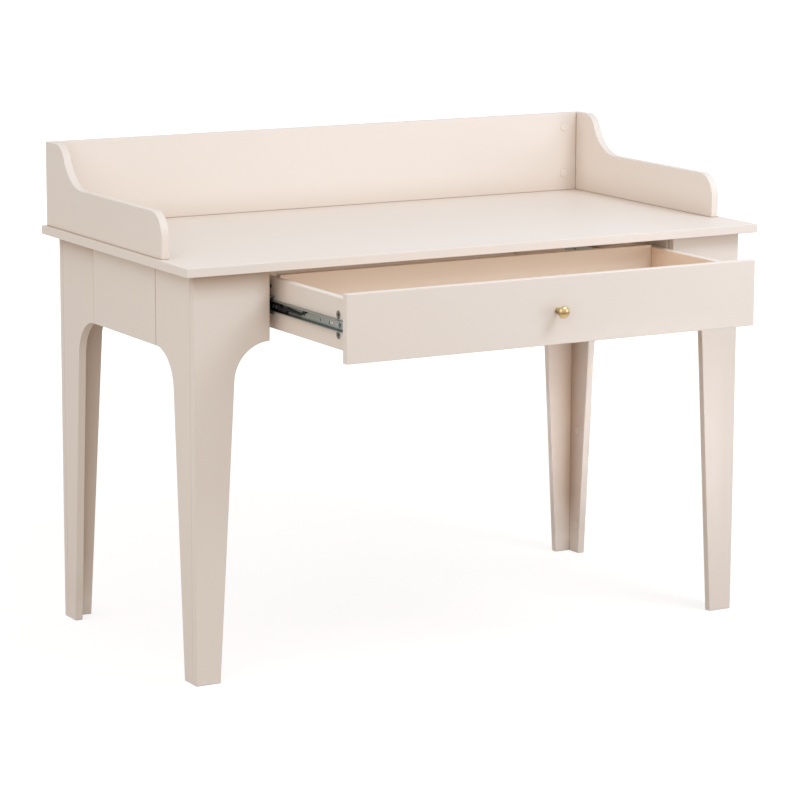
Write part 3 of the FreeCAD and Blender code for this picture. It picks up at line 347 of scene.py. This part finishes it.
# Copies of the paint that carry more or less painted shade in their hollows.
shaded = cream_coat("cream_paint_shaded", shade=0.85)
light_shade_leaf = cream_coat("cream_paint_open", shade=0.05)
deep_shade_leg = cream_coat("cream_paint_inner", shade=0.8, reach=0.1)
plain_front = cream_coat("cream_paint_front", joint=0.0)
inner_shaded_left = cream_coat("cream_lined_left", inner_shade_side=1.0)
inner_shaded_right = cream_coat("cream_lined_right", inner_shade_side=-1.0)
creams = [item.name for item in bpy.data.materials if item.name.startswith("cream_")]
print("materials whose names start with cream:", len(creams))

# %% [markdown]
# The covers over the leg and rail fittings are moulded in a plastic that is a little whiter and smoother
# than the paint round them.

# %% Cream plastic
COVER_LIGHT = (0.89, 0.795, 0.705, 1.0)
COVER_DEEP = (0.865, 0.765, 0.67, 1.0)


def cream_plastic(name, shade, reach):
    """Moulded plastic: faint clouds, a finer peel than the paint has, and painted shade in hollows."""
    material, tree, shader = new_material(name)
    film = effect(tree, coat, **{"Cloud Scale": 40.0, "Peel Scale": 900.0})
    plastic = tint(tree, film["Cloud"], COVER_DEEP, COVER_LIGHT)
    wire(
        tree, shader,
        Base_Color=hollow_shade(tree, plastic, shade, reach),
        Roughness=stretch(tree, film["Peel"], low=0.28, high=0.42),
        Normal=relief(tree, film["Peel"], depth=0.00002),
    )
    return material


finishes["cream_plastic"] = cream_plastic("cream_plastic_moulded", shade=0.2, reach=0.05)
# A copy with more painted shade, for the covers on the inner faces of the legs.
shaded_leg_cover = cream_plastic("cream_plastic_inner", shade=0.65, reach=0.1)
print("cream plastic ready, with", shaded_leg_cover.name)

# %% [markdown]
# The slides, brackets and screws are steel with a thin zinc coat. It is grey with a breath of blue-green,
# because the coat is sealed with a clear blue wash. Long rolling lines change its colour and its gloss.

# %% Zinc plate
ZINC_LIGHT = (0.46, 0.50, 0.48, 1.0)
ZINC_DEEP = (0.26, 0.31, 0.30, 1.0)
ZINC_SHADE = (0.03, 0.045, 0.045, 1.0)


def zinc_plate():
    """Plated steel: rolling lines drive the colour and gloss, and painted shade darkens the channels."""
    material, tree, shader = new_material("zinc_plate_rolled")
    marks = effect(tree, tool_lines, Across=900.0, Along=9.0)
    # Painted shade in the slide's channels.
    channel_shade = effect(tree, crevice, Reach=0.006, Start=0.12, Full=0.5)["Shade"]
    zinc = tint(tree, marks["Line"], ZINC_DEEP, ZINC_LIGHT)
    wire(
        tree, shader,
        Metallic=1.0,
        Base_Color=tint(tree, channel_shade, zinc, ZINC_SHADE),
        Roughness=stretch(tree, marks["Line"], low=0.26, high=0.46),
        Normal=relief(tree, marks["Line"], depth=0.00003),
    )
    return material


finishes["zinc_plate"] = zinc_plate()
print("zinc plate ready")

# %% [markdown]
# The cams are cast, not rolled, so their skin is grainy and dull in every direction. The same group gives the
# grain, with no lines in it.

# %% Cast zinc
CAST_LIGHT = (0.34, 0.33, 0.31, 1.0)
CAST_DEEP = (0.13, 0.125, 0.12, 1.0)
CAST_SHADE = (0.012, 0.010, 0.008, 1.0)


def cast_zinc():
    """Cast metal: even grain drives colour, gloss and relief, and the cross and the rim fill with shade."""
    material, tree, shader = new_material("cast_zinc_grainy")
    grain = effect(tree, tool_lines, Across=1100.0, Along=1100.0)["Grain"]
    hollow = effect(tree, crevice, Reach=0.005, Start=0.1, Full=0.5)["Shade"]
    cast = tint(tree, grain, CAST_DEEP, CAST_LIGHT)
    wire(
        tree, shader,
        Metallic=0.9,
        Base_Color=tint(tree, hollow, cast, CAST_SHADE),
        Roughness=stretch(tree, grain, low=0.4, high=0.62),
        Normal=relief(tree, grain, depth=0.0001),
    )
    return material


finishes["cast_zinc"] = cast_zinc()
print("cast zinc ready")

# %% [markdown]
# The bearing balls are hard polished steel, almost a mirror, with the faintest grain left in the gloss.

# %% Ball steel
BALL_LIGHT = (0.80, 0.80, 0.81, 1.0)
BALL_DEEP = (0.66, 0.66, 0.68, 1.0)


def ball_steel():
    """Polished steel: a trace of grain in colour and gloss."""
    material, tree, shader = new_material("ball_steel_polished")
    grain = effect(tree, tool_lines, Across=700.0, Along=700.0)["Grain"]
    wire(
        tree, shader,
        Metallic=1.0,
        Base_Color=tint(tree, grain, BALL_DEEP, BALL_LIGHT),
        Roughness=stretch(tree, grain, low=0.06, high=0.16),
    )
    return material


finishes["ball_steel"] = ball_steel()
print("ball steel ready")

# %% [markdown]
# The release levers are black moulded plastic with a fine spark-eroded grain, which keeps fingers from
# slipping and keeps the black from shining.

# %% Black plastic
BLACK_LIGHT = (0.016, 0.016, 0.017, 1.0)
BLACK_DEEP = (0.006, 0.006, 0.007, 1.0)


def black_plastic():
    """Grained plastic: fine peel drives colour, gloss and relief."""
    material, tree, shader = new_material("black_plastic_grained")
    film = effect(tree, coat, **{"Cloud Scale": 60.0, "Peel Scale": 1600.0})
    wire(
        tree, shader,
        Specular_IOR_Level=0.25,
        Base_Color=tint(tree, film["Peel"], BLACK_DEEP, BLACK_LIGHT),
        Roughness=stretch(tree, film["Peel"], low=0.36, high=0.55),
        Normal=relief(tree, film["Peel"], depth=0.00008),
    )
    return material


finishes["black_plastic"] = black_plastic()
print("black plastic ready")

# %% [markdown]
# The dowels in the frame are plain beech. Nobody sees them until the desk comes apart, but their wood is
# still wood: pale, with darker streaks along the grain.

# %% Beech
BEECH_LIGHT = (0.66, 0.45, 0.28, 1.0)
BEECH_DEEP = (0.47, 0.28, 0.15, 1.0)


def beech():
    """Bare wood: long streaks drive the colour and the gloss, fine grain the relief."""
    material, tree, shader = new_material("beech_bare")
    streak = effect(tree, tool_lines, Across=450.0, Along=30.0)
    wire(
        tree, shader,
        Base_Color=tint(tree, streak["Line"], BEECH_DEEP, BEECH_LIGHT),
        Roughness=stretch(tree, streak["Line"], low=0.5, high=0.7),
        Normal=relief(tree, streak["Grain"], depth=0.0001),
    )
    return material


finishes["beech"] = beech()
print("beech ready")

# %% [markdown]
# The knob is turned brass with a satin polish. The lathe leaves rings round its axis, so its lines are a
# function of the distance from that axis and not of one direction. The axis runs through the middle of the
# knob, straight out of the drawer. A browner band runs level round the ball, just under its middle: a painted
# reflection of the darker room round the horizon.

# %% Satin brass
BRASS_LIGHT = (0.66, 0.50, 0.27, 1.0)
BRASS_DEEP = (0.52, 0.38, 0.18, 1.0)
BRASS_HORIZON_REFLECTION = (0.24, 0.155, 0.06, 1.0)
REFLECTION_BAND_HEIGHT = 0.0045
REFLECTION_BAND_DROP = 0.001
RINGS_PER_METRE = 2600.0

knob_low, knob_high = (np.array(corner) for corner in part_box("knob"))
knob_middle = (knob_low + knob_high) / 2
knob_axis = (float(knob_middle[0]), 0.0, float(knob_middle[2]))


def satin_brass():
    """Turned brass: noise on the distance from the axis and along it makes rings.

    The painted reflection band is 1 at its own height and falls evenly to 0 at one band height above and
    below.
    """
    material, tree, shader = new_material("satin_brass_turned")
    place = object_place(tree)
    centred = add(tree, "VectorMath", {0: place, 1: knob_axis}, operation="SUBTRACT").outputs["Vector"]
    parts = add(tree, "SeparateXYZ", {"Vector": centred}).outputs
    flat = add(tree, "CombineXYZ", {"X": parts["X"], "Z": parts["Z"]}).outputs["Vector"]
    radius = add(tree, "VectorMath", {0: flat}, operation="LENGTH").outputs["Value"]
    ring_place = add(tree, "CombineXYZ", {"X": radius, "Y": parts["Y"]}).outputs["Vector"]
    ring = noise(tree, ring_place, RINGS_PER_METRE, detail=2.0)
    cloud = effect(tree, coat, **{"Cloud Scale": 120.0, "Peel Scale": 900.0})["Cloud"]
    brass = tint(tree, cloud, BRASS_DEEP, BRASS_LIGHT)
    # Painted reflection: a dark band round the ball, where the room round the horizon would reflect.
    gap = calculate(tree, "ABSOLUTE", calculate(tree, "ADD", parts["Z"], REFLECTION_BAND_DROP))
    horizon_band = remap(tree, gap, 0.0, REFLECTION_BAND_HEIGHT, low=1.0, high=0.0)
    wire(
        tree, shader,
        Metallic=1.0,
        Base_Color=tint(tree, horizon_band, brass, BRASS_HORIZON_REFLECTION),
        Roughness=stretch(tree, ring, low=0.24, high=0.36),
        Normal=relief(tree, ring, depth=0.00001),
    )
    return material


finishes["satin_brass"] = satin_brass()
print("satin brass ready, axis at", [round(float(value), 4) for value in knob_axis])

# %% [markdown]
# The knob is the one bright spot on the desk, and its solid is only a plain stem with a flattened ball. A
# lathe does more: it leaves a foot against the drawer, draws the neck in and lets the ball swell in one
# sweep. So the knob is turned again here, as a curve that goes round its axis. It takes its reach and its
# width from the solid that it stands in for. A cylinder and a sphere could be joined instead, but their
# joint would show.

# %% Knob
FOOT_RADIUS = 0.0052
NECK_RADIUS = 0.0034
FOOT_THICKNESS = 0.0018
BALL_THICKNESS = 0.0125
DRAW_SHARE = 0.5
STEPS_ALONG = 24
STEPS_ROUND = 96

knob_reach = float(knob_high[1] - knob_low[1])
ball_radius = float(knob_high[0] - knob_low[0]) / 2


def knob_profile():
    """Radius and reach along the curve: a foot that eases into the neck by a cosine, then half an ellipse.

    Foot: over the first share of the neck the radius falls from foot to neck as a raised cosine of the
    reach. Ball: the reach is the middle of the ball minus half its thickness times the cosine of an angle,
    and the radius is the ball's radius times its sine. The ball starts at the angle whose sine gives the
    neck's radius.
    """
    ball_start = math.asin(NECK_RADIUS / ball_radius)
    ball_middle = knob_reach - BALL_THICKNESS / 2
    neck_end = ball_middle - BALL_THICKNESS / 2 * math.cos(ball_start)
    ease = np.linspace(0.0, 1.0, STEPS_ALONG)
    foot_reach = FOOT_THICKNESS + ease * (neck_end - FOOT_THICKNESS)
    draw = np.cos(np.clip(ease / DRAW_SHARE, 0.0, 1.0) * math.pi) / 2 + 0.5
    foot_radius = NECK_RADIUS + (FOOT_RADIUS - NECK_RADIUS) * draw
    angle = np.linspace(ball_start, math.pi, STEPS_ALONG * 2)[1:]
    ball_reach = ball_middle - BALL_THICKNESS / 2 * np.cos(angle)
    radius = np.concatenate([[0.0, FOOT_RADIUS], foot_radius, ball_radius * np.sin(angle)])
    reach = np.concatenate([[0.0, 0.0], foot_reach, ball_reach])
    return radius, reach


def turned_mesh(name, radius, reach):
    """A curve that goes round the knob's axis: x and z are the radius times the cosine and sine of the turn.

    The curve's first and last points lie on the axis. They become one vertex each, so both poles close.
    """
    turn = np.linspace(0.0, 2 * math.pi, STEPS_ROUND, endpoint=False)
    ring = np.stack([np.cos(turn), np.zeros(STEPS_ROUND), np.sin(turn)], 1)
    forward = np.array([0.0, -1.0, 0.0])
    start = np.array([knob_middle[0], knob_high[1], knob_middle[2]])
    rows = radius[1:-1, None, None] * ring + reach[1:-1, None, None] * forward
    points = np.concatenate([rows.reshape(-1, 3), reach[[0, -1], None] * forward]) + start
    cells = np.arange(len(rows) * STEPS_ROUND).reshape(len(rows), STEPS_ROUND)
    beside = np.roll(cells, -1, axis=1)
    walls = np.stack([cells[:-1], cells[1:], beside[1:], beside[:-1]], 2).reshape(-1, 4)
    first, last = len(points) - 2, len(points) - 1
    back = [[first, one, two] for one, two in zip(cells[0], beside[0])]
    front = [[last, two, one] for one, two in zip(cells[-1], beside[-1])]
    mesh = bpy.data.meshes.new(name)
    mesh.from_pydata(points.tolist(), [], walls.tolist() + back + front)
    mesh.polygons.foreach_set("use_smooth", np.ones(len(mesh.polygons), bool))
    mesh.validate()
    return mesh


knob_mesh = turned_mesh("knob_turned", *knob_profile())
knob_mesh.materials.append(finishes["satin_brass"])
knob = show("knob_turned", knob_mesh)
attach(knob, "drawer")
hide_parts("knob")
print("knob turned:", len(knob_mesh.vertices), "points, reach", round(knob_reach, 4))

# %% [markdown]
# On each side of the desk the board between the legs meets the front leg a hair apart, and that gap reads as
# a dark upright line. The rounded edges of the two boards leave a groove there. A dark bead lies in each
# groove, thin enough to stay below the faces of the boards, and stands in for the shade in the gap: a painted
# shadow. A line could be painted on instead, but it would have to know where the groove is on every board
# that shares the paint.

# %% Seam beads
BEAD_HALF_WIDTH = 0.00056
BEAD_HALF_DEPTH = 0.00006
BEAD_SINK = 0.00010
BEAD_STEPS = 16
BEAD_END = 0.001


def shadow_bead_mesh(name, face, seam, low, high, outward):
    """An upright rod whose section is an ellipse, closed by a flat cap at each end.

    At an angle, y is the seam plus the half width times the cosine, and x is the face minus the sink plus the
    half depth times the sine, both taken outward.
    """
    angle = np.linspace(0.0, 2 * math.pi, BEAD_STEPS, endpoint=False)
    across = seam + BEAD_HALF_WIDTH * np.cos(angle)
    out = face + outward * (BEAD_HALF_DEPTH * np.sin(angle) - BEAD_SINK)
    ends = [np.stack([out, across, np.full(BEAD_STEPS, height)], 1) for height in (low, high)]
    first = np.arange(BEAD_STEPS)
    beside = np.roll(first, -1)
    walls = np.stack([first, beside, beside + BEAD_STEPS, first + BEAD_STEPS], 1)
    caps = np.stack([first[::-1], first + BEAD_STEPS])
    faces = walls.tolist() + caps.tolist()
    if outward > 0:
        faces = [corners[::-1] for corners in faces]
    mesh = bpy.data.meshes.new(name)
    mesh.from_pydata(np.concatenate(ends).tolist(), [], faces)
    mesh.validate()
    return mesh


for side, outward in (("left", -1), ("right", 1)):
    apron_low, apron_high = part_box("side_apron_" + side)
    face = (apron_low if outward < 0 else apron_high)[0]
    name = "seam_shadow_bead_" + side
    shadow_bead = shadow_bead_mesh(name, face, apron_low[1], apron_low[2] + BEAD_END, apron_high[2] - BEAD_END, outward)
    # The bead's black plastic stands in for the shade in the gap: painted shadow.
    shadow_bead.materials.append(finishes["black_plastic"])
    strip = show(name, shadow_bead)
    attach(strip, "desk")
    print(name, "at y", round(apron_low[1], 4), "and x", round(face, 4))

# %% [markdown]
# Each piece of the model came with a plain stand-in material, which bears the name of its finish. Those
# names say which piece gets which finish, so only the pieces with a coat of their own have to be listed.

# %% Dress the pieces
# Most of these own coats are copies of the paint with more or less painted shade, or painted warm light.
OWN_COATS = {
    "drawer_back": warm_bounce,
    "drawer_bottom": warm_bounce,
    "drawer_front": plain_front,
    "drawer_side_left": inner_shaded_left,
    "drawer_side_right": inner_shaded_right,
    "front_leaf_left": shaded,
    "front_leaf_right": light_shade_leaf,
    "rear_leaf_left": deep_shade_leg,
    "rear_leaf_right": deep_shade_leg,
    "side_leaf_rear_left": deep_shade_leg,
    "side_leaf_rear_right": deep_shade_leg,
    "leg_cam_caps": shaded_leg_cover,
}
dressed = {}
for name, piece in nodes.items():
    for holder in piece.material_slots:
        finish = holder.material.name.split(".")[0]
        holder.material = OWN_COATS.get(name, finishes[finish])
        dressed[finish] = dressed.get(finish, 0) + 1
print("pieces dressed:", dressed)

# %% [markdown]
# A studio has a floor that runs on without an edge. Here it is one very large sheet of warm pale paper, which
# throws a warm light up under the desk. A cool glow of its own, which only the camera and mirrors see, takes
# it to white. The glow is a little short near the desk, so that its shadow stays, and full farther out, where
# the lamps no longer reach.

# %% Floor
FLOOR_REACH = 40.0
FLOOR_TONE = (0.46, 0.37, 0.29, 1.0)
GLOW_LIGHT = (0.90, 0.95, 1.0, 1.0)
GLOW_NEAR = 0.785
GLOW_FAR = 1.1
GLOW_STARTS = 1.2
GLOW_FULL = 3.5


def seen_straight(tree):
    """1 for rays from the camera, from mirrors and through glass, 0 for rays that only carry light."""
    path = add(tree, "LightPath").outputs
    either = calculate(tree, "MAXIMUM", path["Is Camera Ray"], path["Is Glossy Ray"])
    return calculate(tree, "MAXIMUM", either, path["Is Transmission Ray"])


def floor_paper():
    """Matt paper, plus a glow for the camera that grows with the distance from the desk."""
    material, tree = blank_material("floor_paper")
    matt = add(tree, "BsdfDiffuse", {"Color": FLOOR_TONE})
    away = add(tree, "VectorMath", {0: object_place(tree)}, operation="LENGTH").outputs["Value"]
    grown = remap(tree, away, GLOW_STARTS, GLOW_FULL, low=GLOW_NEAR, high=GLOW_FAR)
    strength = calculate(tree, "MULTIPLY", seen_straight(tree), grown)
    glow = add(tree, "Emission", {"Color": GLOW_LIGHT, "Strength": strength})
    both = add(tree, "AddShader", {0: matt.outputs["BSDF"], 1: glow.outputs["Emission"]})
    add(tree, "OutputMaterial", {"Surface": both.outputs["Shader"]})
    return material


corners = FLOOR_REACH * np.array([[-1, -1, 0], [1, -1, 0], [1, 1, 0], [-1, 1, 0]])
sheet = bpy.data.meshes.new("studio_floor")
sheet.from_pydata(corners.tolist(), [], [[0, 1, 2, 3]])
sheet.materials.append(floor_paper())
floor = show("studio_floor", sheet)
print("floor laid at height", floor.location.z)

# %% [markdown]
# The light is a soft studio light, a little cool, which keeps the cream from turning yellow. Pale walls, here
# the world, fill every shadow. What the camera and mirrors see of them is plain white.

# %% World
WALL_LIGHT = (0.95, 0.965, 1.0, 1.0)
WALL_STRENGTH = 0.69
WHITE = (1.0, 1.0, 1.0, 1.0)

world = bpy.data.worlds.new("studio_walls")
world.use_nodes = True
bpy.context.scene.world = world
tree = world.node_tree
tree.nodes.clear()
fill = add(tree, "Background", {"Color": WALL_LIGHT, "Strength": WALL_STRENGTH})
white = add(tree, "Background", {"Color": WHITE, "Strength": 1.0})
either = add(tree, "MixShader", {0: seen_straight(tree), 1: fill.outputs[0], 2: white.outputs[0]})
add(tree, "OutputWorld", {"Surface": either.outputs[0]})
print("walls at strength", WALL_STRENGTH)

# %% [markdown]
# A soft box on the right is the main lamp: it makes the right end of the drawer brighter and throws the
# knob's shadow down to the left. A second one hangs a little above the camera and looks into the drawer. Two
# large screens light the left side, and two low boxes, left and right, reach the legs under the drawer. The
# rear leg on the right is still in the dark there, so a narrow lamp picks it out.

# %% Lamps
KEY_LIGHT = (0.75, 0.84, 1.0)
COOL_LIGHT = (0.86, 0.93, 1.0)
MILD_LIGHT = (0.91, 0.95, 1.0)
DESK_MIDDLE = Vector((0.0, 0.135, 0.55))
REAR_LEG = Vector((0.5, 0.42, 0.30))


def soft_box(name, turn, rise, distance, size, power, light, look=DESK_MIDDLE, beam=180.0):
    """A square lamp that looks at a point, turned to the right of the desk's front and raised, in degrees.

    The beam is the angle over which its light goes out, in degrees too.
    """
    lamp = bpy.data.lights.new(name, "AREA")
    lamp.shape = "SQUARE"
    lamp.size = size
    lamp.energy = power
    lamp.color = light
    lamp.spread = math.radians(beam)
    holder = show(name, lamp)
    turn, rise = math.radians(turn), math.radians(rise)
    towards = Vector((math.sin(turn) * math.cos(rise), -math.cos(turn) * math.cos(rise), math.sin(rise)))
    aim = towards.to_track_quat("Z", "Y").to_matrix().to_4x4()
    holder.matrix_world = Matrix.Translation(look + towards * distance) @ aim


soft_box("key_box", turn=32.0, rise=41.0, distance=2.4, size=0.8, power=18.6, light=KEY_LIGHT)
soft_box("camera_box", turn=-30.0, rise=20.0, distance=3.6, size=1.0, power=6.5, light=COOL_LIGHT)
soft_box("low_box", turn=45.0, rise=6.0, distance=2.8, size=1.0, power=8.3, light=COOL_LIGHT)
soft_box("left_box", turn=-45.0, rise=5.0, distance=3.2, size=1.2, power=6.6, light=COOL_LIGHT)
soft_box("left_screen", turn=-65.0, rise=35.0, distance=3.2, size=2.0, power=11.8, light=MILD_LIGHT)
soft_box("rear_screen", turn=-100.0, rise=8.0, distance=3.2, size=2.0, power=2.9, light=MILD_LIGHT)
soft_box(
    "leg_box", turn=-20.0, rise=4.0, distance=3.4, size=0.3, power=0.2, light=COOL_LIGHT,
    look=REAR_LEG, beam=9.0)

# %% [markdown]
# The picture was taken with a long lens from the left and a little above, which keeps the uprights almost
# parallel. The camera goes back along one line from the point that it looks at: so far to the left of
# straight on, so far above level, and a touch of roll, because the real camera leaned a little.

# %% Camera
VIEW_POINT = Vector((-0.0009, 0.135, 0.4161))
VIEW_TURN = 29.59
VIEW_RISE = 10.95
VIEW_ROLL = 0.2
VIEW_DISTANCE = 6.27
LENS = 148.05
SENSOR = 36.0

camera = bpy.data.cameras.new("camera")
camera.lens = LENS
camera.sensor_width = SENSOR
view = show("camera", camera)
turn, rise = math.radians(VIEW_TURN), math.radians(VIEW_RISE)
back = Vector((-math.sin(turn) * math.cos(rise), -math.cos(turn) * math.cos(rise), math.sin(rise)))
aim = back.to_track_quat("Z", "Y").to_matrix().to_4x4()
roll = Matrix.Rotation(math.radians(VIEW_ROLL), 4, "Z")
view.matrix_world = Matrix.Translation(VIEW_POINT + back * VIEW_DISTANCE) @ aim @ roll
bpy.context.scene.camera = view
bpy.context.scene.view_settings.view_transform = "Standard"
print("camera at", [round(value, 3) for value in view.matrix_world.translation])
